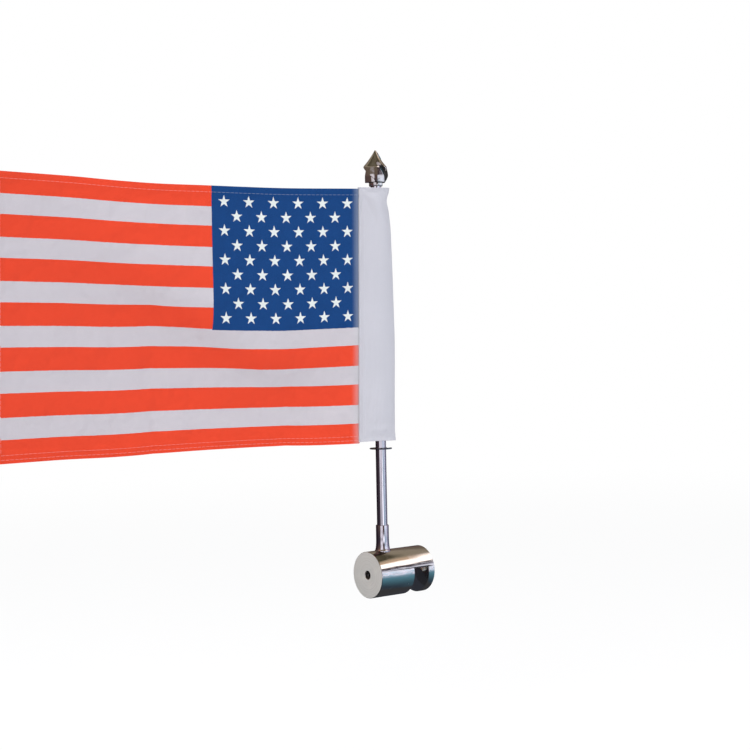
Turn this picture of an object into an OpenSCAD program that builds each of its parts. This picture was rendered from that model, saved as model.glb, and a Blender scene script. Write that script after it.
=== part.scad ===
// Rack-mount flag: a small printed flag whose white sleeve hangs on a vertical chromed pole.
// The pole stands in a round billet barrel that hooks over the flat bar of a luggage rack.
// A socket set screw on the barrel's axis drives a plastic plug that clamps the bar.
//
// Origin: on the inner face of the barrel's lip, where the bar bears, on the barrel's axis.
// +X runs along the barrel away from its outer face, +Z up the pole, and the bar runs along Y.

/* [Barrel] */
// Diameter of the billet barrel
barrel_d = 28; // [26:0.5:34]
// Length of solid barrel between its outer face and the rack bar
solid_len = 25.4; // [24:0.2:34]
// Width of the slot that drops over the rack bar
slot_w = 11.1; // [10.2:0.1:13]
// Height of the slot's roof above the barrel's axis
slot_roof = 3.2; // [2.8:0.1:5]
// Thickness of the lip behind the rack bar
lip_t = 4.8; // [3:0.1:8]
// Chamfer round both ends of the barrel
end_chamfer = 0.6; // [0.2:0.1:1.5]

/* [Clamp screw] */
// Major diameter of the set screw
screw_d = 4.83; // [4:0.01:5]
// Pitch of its thread
screw_pitch = 1.058; // [0.7:0.001:1.2]
// Number of threads along it
screw_threads = 21; // [16:1:21]
// Distance across the flats of its hexagon socket
socket_flats = 2.4; // [2:0.1:3]
// Depth of its hexagon socket
socket_depth = 3; // [2:0.5:4]
// Thickness of the rack bar that it is tightened on
bar_t = 9.5; // [6.4:0.1:10]
// Length of the plastic plug between the screw and the bar
plug_len = 3; // [2:0.5:4]

/* [Pole] */
// Diameter of the pole
pole_d = 6.35; // [6:0.05:7]
// Distance of the pole's axis behind the barrel's outer face
pole_setback = 12; // [10:0.5:14]
// Height of the pole's top above the barrel's top
pole_rise = 219.4; // [215:0.1:260]
// Height of the flared ferrule at its foot
ferrule_h = 15.2; // [12:0.1:20]
// Diameter of the ferrule's straight part
ferrule_d = 7.8; // [7.4:0.1:8.4]
// Diameter of the ferrule's foot
ferrule_foot_d = 9.6; // [9:0.1:11]
// Height of the ferrule's flare
flare_h = 7; // [4:0.5:9]
// Height of the retaining clip above the barrel's top
clip_rise = 61.2; // [50:0.1:64]
// Outer diameter of the retaining clip
clip_d = 13.4; // [11:0.1:15]
// Thickness of the retaining clip
clip_t = 0.64; // [0.5:0.02:0.8]

/* [Finial] */
// Diameter of the plain collar under the finial
collar_d = 8.2; // [7.4:0.1:9]
// Height of the collar
collar_h = 2.4; // [1.6:0.1:3.6]
// Diameter of the finial at its base
finial_d = 15; // [13:0.1:17]
// Height of the finial's full-width base
finial_base_h = 9.2; // [3:0.1:12]
// Height of the finial
finial_h = 19.2; // [17:0.1:24]
// Number of spiral flutes
flutes = 3; // [3:1:5]
// Turn of the flutes over the finial's height, in degrees
flute_twist = 180; // [90:1:240]
// Depth of a flute as a share of the radius
flute_depth = 0.27; // [0.1:0.01:0.4]
// Diameter of the threaded stud that joins the finial to the pole
stud_d = 4.17; // [3.5:0.01:4.2]
// Length of the stud
stud_len = 16; // [12:0.5:18]

/* [Flag] */
// Height of the flag
flag_hoist = 152.4; // [120:0.1:160]
// Flat length of the printed cloth, from the sleeve's seam to the fly end
flag_fly = 228.6; // [180:0.1:240]
// Thickness of the cloth's solid
cloth_t = 1; // [0.8:0.1:1.6]
// Depth of the flag's wave to each side
wave_depth = 6; // [0:0.5:14]
// Length of the flag's wave
wave_length = 336; // [260:1:420]
// Where the curl of the fly end starts, as a distance from the seam
curl_start = 150; // [100:1:170]
// How far the fly end is curled to one side
curl_depth = 8; // [0:0.5:14]
// Angle between the flag and the barrel, about the pole, in degrees
flag_turn = 8.8; // [-30:0.1:30]
// Gap between the top of the pole and the sleeve's upper edge
sleeve_drop = 0.9; // [0.4:0.1:3]
// Reach of the sleeve in front of the pole's axis
sleeve_front = 10.4; // [8:0.1:13]
// Distance of the sleeve's seam behind the pole's axis
sleeve_back = 13.6; // [12:0.1:18]
// Half of the sleeve's thickness at the pole
sleeve_half_t = 4.6; // [4.4:0.1:6]
// Distance of the hem stitching from the cloth's edges
hem_w = 4; // [3:0.1:6]

/* [Hidden] */
$fn = 96;

chrome = "gainsboro";
steel = "dimgray";
flag_white = "white";
stripe_red = "tomato";

over = 1;             // how far a cutting shape runs past the face it cuts
press_gap = 0.02;     // radial gap of a pressed or screwed-up joint
run_gap = 0.085;      // radial gap of the screw and its plug in the barrel's hole
sleeve_gap = 0.36;    // radial gap of the sleeve on the pole
tip_chamfer = 0.4;    // chamfer on rods, studs and plugs

barrel_r = barrel_d / 2;
pole_r = pole_d / 2;
screw_r = screw_d / 2;
plug_r = screw_r;
stud_r = stud_d / 2;
hole_r = screw_r + run_gap;

face_x = -(slot_w + solid_len);            // outer face of the barrel
pole_x = face_x + pole_setback;            // axis of the pole
plug_nose_x = -bar_t;                      // where the plug meets the bar
plug_back_x = plug_nose_x - plug_len;
screw_len = screw_threads * screw_pitch;

socket_floor_z = hole_r + 2.1;             // floor of the pole's socket, above the screw's hole
pole_top_z = barrel_r + pole_rise;
clip_z = barrel_r + clip_rise;
clip_groove_r = pole_r - 0.5;
collar_top_z = pole_top_z + collar_h;
finial_r = finial_d / 2;
stud_low_z = collar_top_z - stud_len / 2;
stud_drill = 1;                            // spare depth drilled past each end of the stud

sleeve_top_z = pole_top_z - sleeve_drop;
sleeve_low_z = sleeve_top_z - flag_hoist;
seam_half_t = cloth_t / 2 + 0.3;           // half of the sleeve's thickness at its seam
stitch_t = 0.3;                            // how far a row of stitches stands out
stitch_h = 0.5;                            // height of a row of stitches
double_row = 2.4;                          // distance between the two rows of a double seam
wave_slope = 2 * PI * wave_depth / wave_length;
fly_reach = flag_fly * (1 - wave_slope * wave_slope / 4);
plan_steps = 24;

// ---- shared shapes ----

// A shape drawn up the Z axis, laid along +X and started at x
module along_x(x) {
  translate([x, 0, 0]) rotate([0, 90, 0]) children();
}

// A round rod of radius r with chamfered ends, up the Z axis
module rod(r, h) {
  rotate_extrude()
    polygon([[0, 0], [r - tip_chamfer, 0], [r, tip_chamfer], [r, h - tip_chamfer],
             [r - tip_chamfer, h], [0, h]]);
}

// The flag's own frame: the pole is the Z axis and the fly end lies towards -X
module at_flag() {
  translate([pole_x, 0, 0]) rotate([0, 0, -flag_turn]) children();
}

// Sideways place of the cloth's middle at a distance f behind the seam
function wave_y(f) = wave_depth * sin(360 * f / wave_length)
  - curl_depth * pow(max(0, f - curl_start) / (fly_reach - curl_start), 2);

// A wall that follows the cloth from the seam to the fly end
module cloth_wall(half_t, z, h) {
  steps = [for (i = [0 : plan_steps]) fly_reach * i / plan_steps];
  near = [for (f = steps) [-sleeve_back - f, wave_y(f) - half_t]];
  far = [for (i = [plan_steps : -1 : 0]) [-sleeve_back - steps[i], wave_y(steps[i]) + half_t]];
  translate([0, 0, z]) linear_extrude(h) polygon(concat(near, far));
}

// A row of stitches proud of both sides of the cloth, between two distances behind the seam
module stitch_row(f0, f1, z, h) {
  side = 4 * wave_depth + 4 * curl_depth + 4 * cloth_t;
  intersection() {
    difference() {
      cloth_wall(cloth_t / 2 + stitch_t, z, h);
      cloth_wall(cloth_t / 2, z - over, h + 2 * over);
    }
    translate([-sleeve_back - f1, -side / 2, z - over]) cube([f1 - f0, side, h + 2 * over]);
  }
}

// ---- barrel and clamp ----

// Billet barrel: a slot open downwards for the rack bar, the screw's hole and the pole's socket
module mount_body() {
  length = solid_len + slot_w + lip_t;
  inner_r = barrel_r - end_chamfer;
  color(chrome) difference() {
    along_x(face_x)
      rotate_extrude()
        polygon([[0, 0], [inner_r, 0], [barrel_r, end_chamfer], [barrel_r, length - end_chamfer],
                 [inner_r, length], [0, length]]);
    translate([-slot_w, -barrel_r - over, -barrel_r - over])
      cube([slot_w, barrel_d + 2 * over, barrel_r + over + slot_roof]);
    along_x(face_x - over) cylinder(r = hole_r, h = solid_len + 2 * over);
    translate([pole_x, 0, socket_floor_z]) cylinder(r = pole_r + press_gap, h = barrel_d);
  }
}

// Socket set screw, threaded all along, with its hexagon socket at the outer end
module clamp_screw() {
  thread_depth = 0.45;
  core_r = screw_r - thread_depth;
  color(steel) along_x(plug_back_x - screw_len) difference() {
    rotate_extrude()
      polygon(concat(
        [[0, 0]],
        [for (i = [0 : screw_threads - 1]) each [
          [core_r, i * screw_pitch],
          [screw_r, (i + 0.4) * screw_pitch],
          [screw_r, (i + 0.55) * screw_pitch]]],
        [[core_r, screw_len], [0, screw_len]]));
    translate([0, 0, -over]) rotate([0, 0, 30])
      cylinder(d = socket_flats / cos(30), h = socket_depth + over, $fn = 6);
  }
}

// Plastic plug that the screw pushes against the bar without turning
module clamp_plug() {
  color(flag_white) along_x(plug_back_x) rod(plug_r, plug_len);
}

// ---- pole ----

// Pole, with its foot in the barrel's socket, a groove for the clip and a drilled top
module pole() {
  foot_z = socket_floor_z + 0.3;
  color(chrome) translate([pole_x, 0, 0]) difference() {
    translate([0, 0, foot_z]) rod(pole_r, pole_top_z - foot_z);
    translate([0, 0, clip_z]) difference() {
      cylinder(r = pole_r + over, h = clip_t + 2 * press_gap);
      translate([0, 0, -over]) cylinder(r = clip_groove_r, h = clip_t + 2 * over);
    }
    translate([0, 0, stud_low_z - stud_drill]) cylinder(r = stud_r + press_gap, h = stud_len);
  }
}

// Flared ferrule round the pole's foot, saddle-cut to sit on the barrel
module pole_ferrule() {
  straight_r = ferrule_d / 2;
  flare = (ferrule_foot_d - ferrule_d) / 2;
  bore_r = pole_r + press_gap;
  foot = sqrt(barrel_r * barrel_r - ferrule_foot_d * ferrule_foot_d / 4) - press_gap;
  top = barrel_r + ferrule_h;
  flare_steps = 8;
  color(chrome) translate([pole_x, 0, 0]) difference() {
    rotate_extrude()
      polygon(concat(
        [[bore_r, foot]],
        [for (i = [0 : flare_steps]) let (a = 90 * i / flare_steps)
          [straight_r + flare * (1 - sin(a)), barrel_r + flare_h * (1 - cos(a))]],
        [[straight_r, top - tip_chamfer], [straight_r - tip_chamfer, top], [bore_r, top]]));
    along_x(-barrel_d) cylinder(r = barrel_r, h = 2 * barrel_d);
  }
}

// Spring-steel retaining clip snapped into the pole's groove under the sleeve
module flag_clip() {
  mouth = 4.4;
  relief_d = 2.2;
  grip_r = clip_groove_r + press_gap;
  color(steel) translate([pole_x, 0, clip_z + press_gap]) difference() {
    cylinder(d = clip_d, h = clip_t);
    translate([0, 0, -over]) cylinder(r = grip_r, h = clip_t + 2 * over);
    translate([0, -mouth / 2, -over]) cube([clip_d, mouth, clip_t + 2 * over]);
    for (a = [120, 240])
      rotate([0, 0, a]) translate([grip_r + relief_d / 4, 0, -over])
        cylinder(d = relief_d, h = clip_t + 2 * over);
  }
}

// ---- finial ----

// Threaded stud, half in the pole and half in the finial
module finial_stud() {
  color(steel) translate([pole_x, 0, stud_low_z]) rod(stud_r, stud_len);
}

// Plain collar between the pole's top and the finial
module finial_collar() {
  color(chrome) translate([pole_x, 0, pole_top_z]) difference() {
    rod(collar_d / 2, collar_h);
    translate([0, 0, -over]) cylinder(r = stud_r + press_gap, h = collar_h + 2 * over);
  }
}

// Outline of the spiral-cut body: flutes with one steep side each, like a ratchet
module flute_outline(r) {
  step = 15;
  flute_angle = 360 / flutes;
  polygon([for (a = [0 : step : 360 - step])
    let (rr = r * (1 - flute_depth * (a % flute_angle) / flute_angle)) [rr * cos(a), rr * sin(a)]]);
}

// Pointed finial with spiral flutes on a round base
module finial() {
  cone_h = finial_h - finial_base_h;
  base_twist = flute_twist * finial_base_h / finial_h;
  rim_h = 1.2;
  tip_scale = 0.06;
  $fn = 24;
  color(chrome) translate([pole_x, 0, collar_top_z]) difference() {
    union() {
      cylinder(r1 = finial_r - tip_chamfer, r2 = finial_r * (1 - flute_depth), h = rim_h);
      linear_extrude(finial_base_h, twist = base_twist, slices = 4) flute_outline(finial_r);
      translate([0, 0, finial_base_h]) rotate([0, 0, -base_twist])
        linear_extrude(cone_h, twist = flute_twist - base_twist, scale = tip_scale, slices = 10)
          flute_outline(finial_r);
    }
    translate([0, 0, -over])
      cylinder(r = stud_r + press_gap, h = stud_len / 2 + stud_drill + over, $fn = 96);
  }
}

// ---- flag ----

// Plan of the flattened sleeve from its seam to its front, grown sideways by grow behind the pole
module sleeve_plan(grow) {
  steps = 12;
  bulge = sleeve_half_t - seam_half_t;
  side = [for (i = [0 : steps]) let (u = i / steps)
    [-sleeve_back * (1 - u), seam_half_t + grow + bulge * (1 - cos(180 * u)) / 2]];
  front = [for (i = [1 : 2 * steps - 1]) let (a = 90 - 90 * i / steps)
    [sleeve_front * cos(a), sleeve_half_t * sin(a)]];
  other_side = [for (i = [steps : -1 : 0]) [side[i][0], -side[i][1]]];
  polygon(concat(side, front, other_side));
}

// Sleeve sewn along the flag's hoist: a filled, flattened tube with a round way for the pole
module pole_sleeve() {
  color(flag_white) at_flag() translate([0, 0, sleeve_low_z]) difference() {
    linear_extrude(flag_hoist) sleeve_plan(0);
    translate([0, 0, -over]) cylinder(r = pole_r + sleeve_gap, h = flag_hoist + 2 * over);
  }
}

// Printed cloth, one wave long
module flag_panel() {
  color(stripe_red) at_flag() cloth_wall(cloth_t / 2, sleeve_low_z, flag_hoist);
}

// Double row of stitches on the sleeve, along its seam
module sleeve_stitching() {
  row_h = flag_hoist - 2 * over;
  color(flag_white) at_flag() translate([0, 0, sleeve_low_z + over])
    for (x = [1, 1 + double_row])
      intersection() {
        difference() {
          linear_extrude(row_h) sleeve_plan(stitch_t);
          translate([0, 0, -over]) linear_extrude(row_h + 2 * over) sleeve_plan(0);
        }
        translate([-sleeve_back + x, -barrel_r, -over]) cube([stitch_h, barrel_d, row_h + 2 * over]);
      }
}

// Single row of stitches along the top hem
module top_hem_stitching() {
  color(flag_white) at_flag() stitch_row(hem_w + over, fly_reach - over, sleeve_top_z - hem_w, stitch_h);
}

// Double row of stitches along the bottom hem
module bottom_hem_stitching() {
  color(flag_white) at_flag()
    for (z = [hem_w - double_row, hem_w])
      stitch_row(hem_w + over, fly_reach - over, sleeve_low_z + z, stitch_h);
}

// Double row of stitches along the fly hem
module fly_hem_stitching() {
  row_z = sleeve_low_z + hem_w + over;
  row_h = flag_hoist - 2 * hem_w - 2 * over;
  color(flag_white) at_flag()
    for (f = [fly_reach - hem_w - double_row, fly_reach - hem_w])
      stitch_row(f - stitch_h, f, row_z, row_h);
}

mount_body();
clamp_screw();
clamp_plug();
pole();
pole_ferrule();
flag_clip();
finial_stud();
finial_collar();
finial();
pole_sleeve();
flag_panel();
sleeve_stitching();
top_hem_stitching();
bottom_hem_stitching();
fly_hem_stitching();
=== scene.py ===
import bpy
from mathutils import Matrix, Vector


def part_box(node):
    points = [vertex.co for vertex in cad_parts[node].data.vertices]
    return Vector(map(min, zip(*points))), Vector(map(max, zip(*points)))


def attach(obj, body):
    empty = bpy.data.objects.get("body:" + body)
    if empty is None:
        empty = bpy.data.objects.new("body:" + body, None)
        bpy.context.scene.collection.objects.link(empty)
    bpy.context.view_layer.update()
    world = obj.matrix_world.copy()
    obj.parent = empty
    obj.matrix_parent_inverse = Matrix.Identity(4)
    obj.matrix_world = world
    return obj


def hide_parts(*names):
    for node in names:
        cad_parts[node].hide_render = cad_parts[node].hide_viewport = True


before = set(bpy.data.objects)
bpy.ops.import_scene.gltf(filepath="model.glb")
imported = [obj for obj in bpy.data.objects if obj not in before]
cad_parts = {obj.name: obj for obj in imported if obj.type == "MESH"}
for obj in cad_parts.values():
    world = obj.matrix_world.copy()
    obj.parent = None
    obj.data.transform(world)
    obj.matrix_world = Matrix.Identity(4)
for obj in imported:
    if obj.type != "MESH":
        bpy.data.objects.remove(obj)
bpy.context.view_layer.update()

import math

import bmesh
import bpy
import numpy as np
from mathutils import Matrix, Vector

# ---- Barrel ----
# Billet barrel turned from round bar, chromed, with satin faced ends. It hooks over the flat bar of
# a luggage rack by the slot milled across it, and the clamp screw's hole runs along its axis.


def put(tree, kind, inputs=None, **settings):
    """Adds a shader node, with each input given a value or another node's socket."""
    node = tree.nodes.new(kind)
    for name, value in settings.items():
        setattr(node, name, value)
    for key, value in (inputs or {}).items():
        if isinstance(value, bpy.types.NodeSocket):
            tree.links.new(value, node.inputs[key])
        else:
            node.inputs[key].default_value = value
    return node


def calc(tree, operation, *values):
    """One maths node's result."""
    return put(tree, "ShaderNodeMath", dict(enumerate(values)), operation=operation).outputs[0]


def ramp(tree, value, low, high, out_low=0.0, out_high=1.0):
    """The value smoothly remapped from low..high to out_low..out_high."""
    inputs = {"Value": value, "From Min": low, "From Max": high, "To Min": out_low, "To Max": out_high}
    return put(tree, "ShaderNodeMapRange", inputs, interpolation_type="SMOOTHSTEP").outputs[0]


def tint(tree, factor, first, second):
    """Two colours mixed by a factor."""
    node = put(tree, "ShaderNodeMix", data_type="RGBA")
    for index, value in ((0, factor), (6, first), (7, second)):
        if isinstance(value, bpy.types.NodeSocket):
            tree.links.new(value, node.inputs[index])
        else:
            node.inputs[index].default_value = value if index == 0 else (*value, 1)
    return node.outputs[2]


def shade(name, color, **constants):
    """A new material with one Principled shader; gives back the material, its tree and the shader."""
    material = bpy.data.materials.new(name)
    material.use_nodes = True
    tree = material.node_tree
    shader = tree.nodes["Principled BSDF"]
    shader.inputs["Base Color"].default_value = (*color, 1)
    for key, value in constants.items():
        shader.inputs[key.replace("_", " ")].default_value = value
    return material, tree, shader


def new_group(name, takes, gives):
    """A shader node group with the named inputs and outputs; gives back it and its two end nodes."""
    group = bpy.data.node_groups.new(name, "ShaderNodeTree")
    for label, kind in takes:
        group.interface.new_socket(label, in_out="INPUT", socket_type=kind)
    for label, kind in gives:
        group.interface.new_socket(label, in_out="OUTPUT", socket_type=kind)
    return group, group.nodes.new("NodeGroupInput"), group.nodes.new("NodeGroupOutput")


# Handling marks shared by the metals: smudges, fine rubbed scratches and shallow waviness
marks, marks_in, marks_out = new_group(
    "handling_marks",
    [("Place", "NodeSocketVector")],
    [("Smudge", "NodeSocketFloat"), ("Scratch", "NodeSocketFloat"), ("Height", "NodeSocketFloat")],
)
place = marks_in.outputs["Place"]
smudge = put(marks, "ShaderNodeTexNoise", {"Vector": place, "Scale": 160.0, "Detail": 5.0})
rubbed_along = {"Vector": place, "Rotation": (0.3, 0.2, 0.5), "Scale": (1, 1, 0.04)}
stretched = put(marks, "ShaderNodeMapping", rubbed_along)
streaks = put(marks, "ShaderNodeTexNoise", {"Vector": stretched.outputs[0], "Scale": 2600.0, "Detail": 2.0})
ripple = put(marks, "ShaderNodeTexNoise", {"Vector": place, "Scale": 60.0, "Detail": 1.0})
marks.links.new(ramp(marks, smudge.outputs["Fac"], 0.46, 0.72), marks_out.inputs["Smudge"])
marks.links.new(ramp(marks, streaks.outputs["Fac"], 0.66, 0.74), marks_out.inputs["Scratch"])
marks.links.new(ripple.outputs["Fac"], marks_out.inputs["Height"])


def add_marks(tree, shader, clean, smudged, scratched, wave):
    """Gives a metal its handling marks: roughness from clean to smudged, scratches and waviness."""
    spot = put(tree, "ShaderNodeTexCoord").outputs["Object"]
    group = put(tree, "ShaderNodeGroup", node_tree=marks)
    tree.links.new(spot, group.inputs["Place"])
    rough = calc(tree, "MULTIPLY_ADD", group.outputs["Smudge"], smudged - clean, clean)
    rough = calc(tree, "MULTIPLY_ADD", group.outputs["Scratch"], scratched, rough)
    tree.links.new(rough, shader.inputs["Roughness"])
    uneven_height = {"Height": group.outputs["Height"], "Strength": 1.0, "Distance": wave}
    bump = put(tree, "ShaderNodeBump", uneven_height)
    tree.links.new(bump.outputs[0], shader.inputs["Normal"])
    return spot, group


def start():
    """Leaves every object unselected before a new piece is modelled."""
    bpy.ops.object.select_all(action="DESELECT")


def settle_piece(piece, width=0.0, segments=2, angle=35):
    """Rounds a hard piece's sharp edges, applies its modifiers and smooths it."""
    start()
    piece.select_set(True)
    bpy.context.view_layer.objects.active = piece
    bpy.ops.object.transform_apply(location=True, rotation=True, scale=True)
    if width:
        bevel = piece.modifiers.new("edges", "BEVEL")
        bevel.width = width
        bevel.segments = segments
        bevel.limit_method = "ANGLE"
        bevel.angle_limit = math.radians(angle)
        bpy.ops.object.modifier_apply(modifier=bevel.name)
    bpy.ops.object.mode_set(mode="EDIT")
    bpy.ops.mesh.select_all(action="SELECT")
    bpy.ops.mesh.remove_doubles(threshold=1e-6)
    bpy.ops.mesh.normals_make_consistent(inside=False)
    bpy.ops.object.mode_set(mode="OBJECT")
    bpy.ops.object.shade_smooth_by_angle(angle=math.radians(angle))


def cut(piece, tool):
    """Cuts one solid out of another and removes the tool."""
    start()
    piece.select_set(True)
    bpy.context.view_layer.objects.active = piece
    boolean = piece.modifiers.new("cut", "BOOLEAN")
    boolean.operation = "DIFFERENCE"
    boolean.solver = "EXACT"
    boolean.object = tool
    bpy.ops.object.modifier_apply(modifier=boolean.name)
    bpy.data.objects.remove(tool)


def rod(x0, x1, radius, sides=96):
    """A plain cylinder along X."""
    start()
    bpy.ops.mesh.primitive_cylinder_add(
        vertices=sides,
        radius=radius,
        depth=x1 - x0,
        location=((x0 + x1) / 2, 0, 0),
        rotation=(0, math.pi / 2, 0),
    )
    return bpy.context.object


barrel_low, barrel_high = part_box("mount_body")
barrel_r = barrel_high.z
slot_width = 0.0111
slot_roof = 0.0032
slot_depth = 0.04
screw_hole_r = 0.0025
barrel = rod(barrel_low.x, barrel_high.x, barrel_r, 160)
barrel.name = "barrel"
bpy.ops.mesh.primitive_cube_add(
    size=1, location=(-slot_width / 2, 0, slot_roof - slot_depth / 2), scale=(slot_width, 0.06, slot_depth)
)
cut(barrel, bpy.context.object)
cut(barrel, rod(barrel_low.x - 0.001, -slot_width + 0.001, screw_hole_r, 64))
settle_piece(barrel, 0.0004, 3)

barrel_chrome, tree, shader = shade("barrel_chrome", (0.62, 0.6, 0.59), Metallic=1.0)
spot, worn = add_marks(tree, shader, 0.09, 0.22, 0.12, 0.00025)
part = put(tree, "ShaderNodeSeparateXYZ", {"Vector": spot})
squares = [calc(tree, "POWER", part.outputs[axis], 2.0) for axis in ("Y", "Z")]
radius = calc(tree, "SQRT", calc(tree, "ADD", *squares))
rings = put(tree, "ShaderNodeTexNoise", {"W": radius, "Scale": 2600.0, "Detail": 2.0}, noise_dimensions="1D")
blotch = put(tree, "ShaderNodeTexNoise", {"Vector": spot, "Scale": 120.0, "Detail": 4.0})
facing = put(tree, "ShaderNodeSeparateXYZ", {"Vector": put(tree, "ShaderNodeTexCoord").outputs["Normal"]})
barrel_middle = (barrel_low.x + barrel_high.x) / 2
from_middle = calc(tree, "ABSOLUTE", calc(tree, "SUBTRACT", part.outputs["X"], barrel_middle))
at_end = calc(tree, "GREATER_THAN", from_middle, (barrel_high.x - barrel_low.x) / 2 - 0.0006)
faced = calc(tree, "MULTIPLY", at_end, ramp(tree, calc(tree, "ABSOLUTE", facing.outputs["X"]), 0.8, 0.97))
ring_height = {"Height": rings.outputs["Fac"], "Strength": 0.5, "Distance": 0.00003}
ring_bump = put(tree, "ShaderNodeBump", ring_height)
faced_metal = {"Metallic": 0.45, "Anisotropic": 0.4, "Normal": ring_bump.outputs[0]}
satin = put(tree, "ShaderNodeBsdfPrincipled", faced_metal)
ring_share = ramp(tree, rings.outputs["Fac"], 0.35, 0.65)
turned_color = tint(tree, ring_share, (0.58, 0.56, 0.53), (0.72, 0.71, 0.68))
blotch_share = ramp(tree, blotch.outputs["Fac"], 0.5, 0.75, 0.0, 0.6)
satin_color = tint(tree, blotch_share, turned_color, (0.74, 0.72, 0.67))
tree.links.new(satin_color, satin.inputs["Base Color"])
tree.links.new(ramp(tree, rings.outputs["Fac"], 0.3, 0.7, 0.38, 0.5), satin.inputs["Roughness"])
round_way = put(tree, "ShaderNodeTangent", direction_type="RADIAL", axis="X")
tree.links.new(round_way.outputs[0], satin.inputs["Tangent"])
joined = put(tree, "ShaderNodeMixShader", {0: faced, 1: shader.outputs[0], 2: satin.outputs[0]})
tree.links.new(joined.outputs[0], tree.nodes["Material Output"].inputs["Surface"])
barrel.data.materials.append(barrel_chrome)
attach(barrel, "mount")
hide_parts("mount_body")

# ---- Clamp screw ----
# Black-oxide socket set screw threaded into the barrel's outer end. Its crests are rubbed bright.
black_steel, tree, shader = shade("black_steel", (0.03, 0.03, 0.032), Metallic=0.9)
spot, worn = add_marks(tree, shader, 0.34, 0.5, 0.1, 0.0001)
edge = ramp(tree, put(tree, "ShaderNodeNewGeometry").outputs["Pointiness"], 0.52, 0.6)
tree.links.new(tint(tree, edge, (0.07, 0.07, 0.075), (0.4, 0.39, 0.38)), shader.inputs["Base Color"])
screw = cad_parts["clamp_screw"]
screw.data.materials.clear()
screw.data.materials.append(black_steel)

# ---- Clamp plug ----
# Short natural nylon plug, loose in the screw's hole, pressed against the bar by the screw.
nylon, tree, shader = shade("nylon", (0.78, 0.76, 0.7), Subsurface_Weight=0.2, Subsurface_Scale=0.001)
spot, worn = add_marks(tree, shader, 0.42, 0.58, 0.05, 0.0002)
dulled = tint(tree, worn.outputs["Smudge"], (0.8, 0.78, 0.72), (0.68, 0.65, 0.59))
tree.links.new(dulled, shader.inputs["Base Color"])
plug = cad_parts["clamp_plug"]
plug.data.materials.clear()
plug.data.materials.append(nylon)

# ---- Pole ----
# Quarter-inch steel rod, chromed and polished, standing in the barrel's socket. A groove turned
# under the flag's sleeve takes the retaining clip.


def turned(name, x, steps, sides=96):
    """A piece turned about a vertical axis at x; steps are (height, radius) pairs from its foot."""
    start()
    z, r = steps[0]
    bpy.ops.mesh.primitive_circle_add(vertices=sides, radius=r, fill_type="NGON", location=(x, 0, z))
    piece = bpy.context.object
    piece.name = name
    bpy.ops.object.mode_set(mode="EDIT")
    bpy.ops.mesh.select_all(action="SELECT")
    for next_z, next_r in steps[1:]:
        bpy.ops.mesh.extrude_region_move(TRANSFORM_OT_translate={"value": (0, 0, next_z - z)})
        grow = next_r / r
        bpy.ops.transform.resize(value=(grow, grow, 1), center_override=(x, 0, next_z))
        z, r = next_z, next_r
    bpy.ops.object.mode_set(mode="OBJECT")
    return piece


pole_low, pole_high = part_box("pole")
pole_x = (pole_low.x + pole_high.x) / 2
pole_r = (pole_high.x - pole_low.x) / 2
clip_low, clip_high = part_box("flag_clip")
groove = 0.0005
sliver = 0.00001
pole = turned(
    "pole_rod",
    pole_x,
    [
        (pole_low.z, pole_r),
        (clip_low.z - 2 * sliver, pole_r),
        (clip_low.z - sliver, pole_r - groove),
        (clip_high.z + sliver, pole_r - groove),
        (clip_high.z + 2 * sliver, pole_r),
        (pole_high.z, pole_r),
    ],
)
settle_piece(pole)
pole_chrome, tree, shader = shade("pole_chrome", (0.66, 0.64, 0.66), Metallic=1.0)
spot, worn = add_marks(tree, shader, 0.05, 0.14, 0.08, 0.00008)
# Painted reflection: the base colour darkens towards the pole's grazing edges, standing in for a dark rack
# reflected there.
grazing = put(tree, "ShaderNodeLayerWeight", {"Blend": 0.5}).outputs["Facing"]
painted_dark_rim_reflection = tint(tree, ramp(tree, grazing, 0.1, 0.4), (0.7, 0.68, 0.7), (0.24, 0.18, 0.22))
tree.links.new(painted_dark_rim_reflection, shader.inputs["Base Color"])
pole.data.materials.append(pole_chrome)
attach(pole, "mount")
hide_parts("pole")

# ---- Ferrule ----
# Chromed steel ferrule pressed round the pole's foot, flared out where it meets the barrel.
ferrule_low, ferrule_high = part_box("pole_ferrule")
foot_r = (ferrule_high.x - ferrule_low.x) / 2
neck_r = 0.0039
flare_h = 0.007
sunk = 0.0012
flare = [(barrel_r - sunk, foot_r)]
for i in range(13):
    a = math.pi / 2 * i / 12
    flare_z = barrel_r + flare_h * (1 - math.cos(a))
    flare.append((flare_z, neck_r + (foot_r - neck_r) * (1 - math.sin(a))))
flare.append((ferrule_high.z, neck_r))
ferrule = turned("ferrule", pole_x, flare)
settle_piece(ferrule, 0.00035, 3, 50)
ferrule.data.materials.append(pole_chrome)
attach(ferrule, "mount")
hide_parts("pole_ferrule")

# ---- Retaining clip ----
# Flat E-shaped clip stamped from spring steel and snapped into the pole's groove.
clip_r = 0.0067
clip_t = clip_high.z - clip_low.z
mouth_width = 0.0044
relief_r = 0.0011
relief_back = 0.0016
relief_aside = 0.0028
through = 0.01
start()
bpy.ops.mesh.primitive_cylinder_add(
    vertices=96, radius=clip_r, depth=clip_t, location=(pole_x, 0, (clip_low.z + clip_high.z) / 2)
)
clip = bpy.context.object
clip.name = "spring_clip"
start()
bpy.ops.mesh.primitive_cylinder_add(
    vertices=64, radius=pole_r - groove + 0.00002, depth=through, location=(pole_x, 0, clip_low.z)
)
cut(clip, bpy.context.object)
start()
bpy.ops.mesh.primitive_cube_add(
    size=1, location=(pole_x + clip_r, 0, clip_low.z), scale=(2 * clip_r, mouth_width, through)
)
cut(clip, bpy.context.object)
for side in (-1, 1):
    start()
    bpy.ops.mesh.primitive_cylinder_add(
        vertices=32,
        radius=relief_r,
        depth=through,
        location=(pole_x - relief_back, side * relief_aside, clip_low.z),
    )
    cut(clip, bpy.context.object)
settle_piece(clip, 0.00012)
spring_steel, tree, shader = shade("spring_steel", (0.09, 0.1, 0.12), Metallic=1.0)
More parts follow.
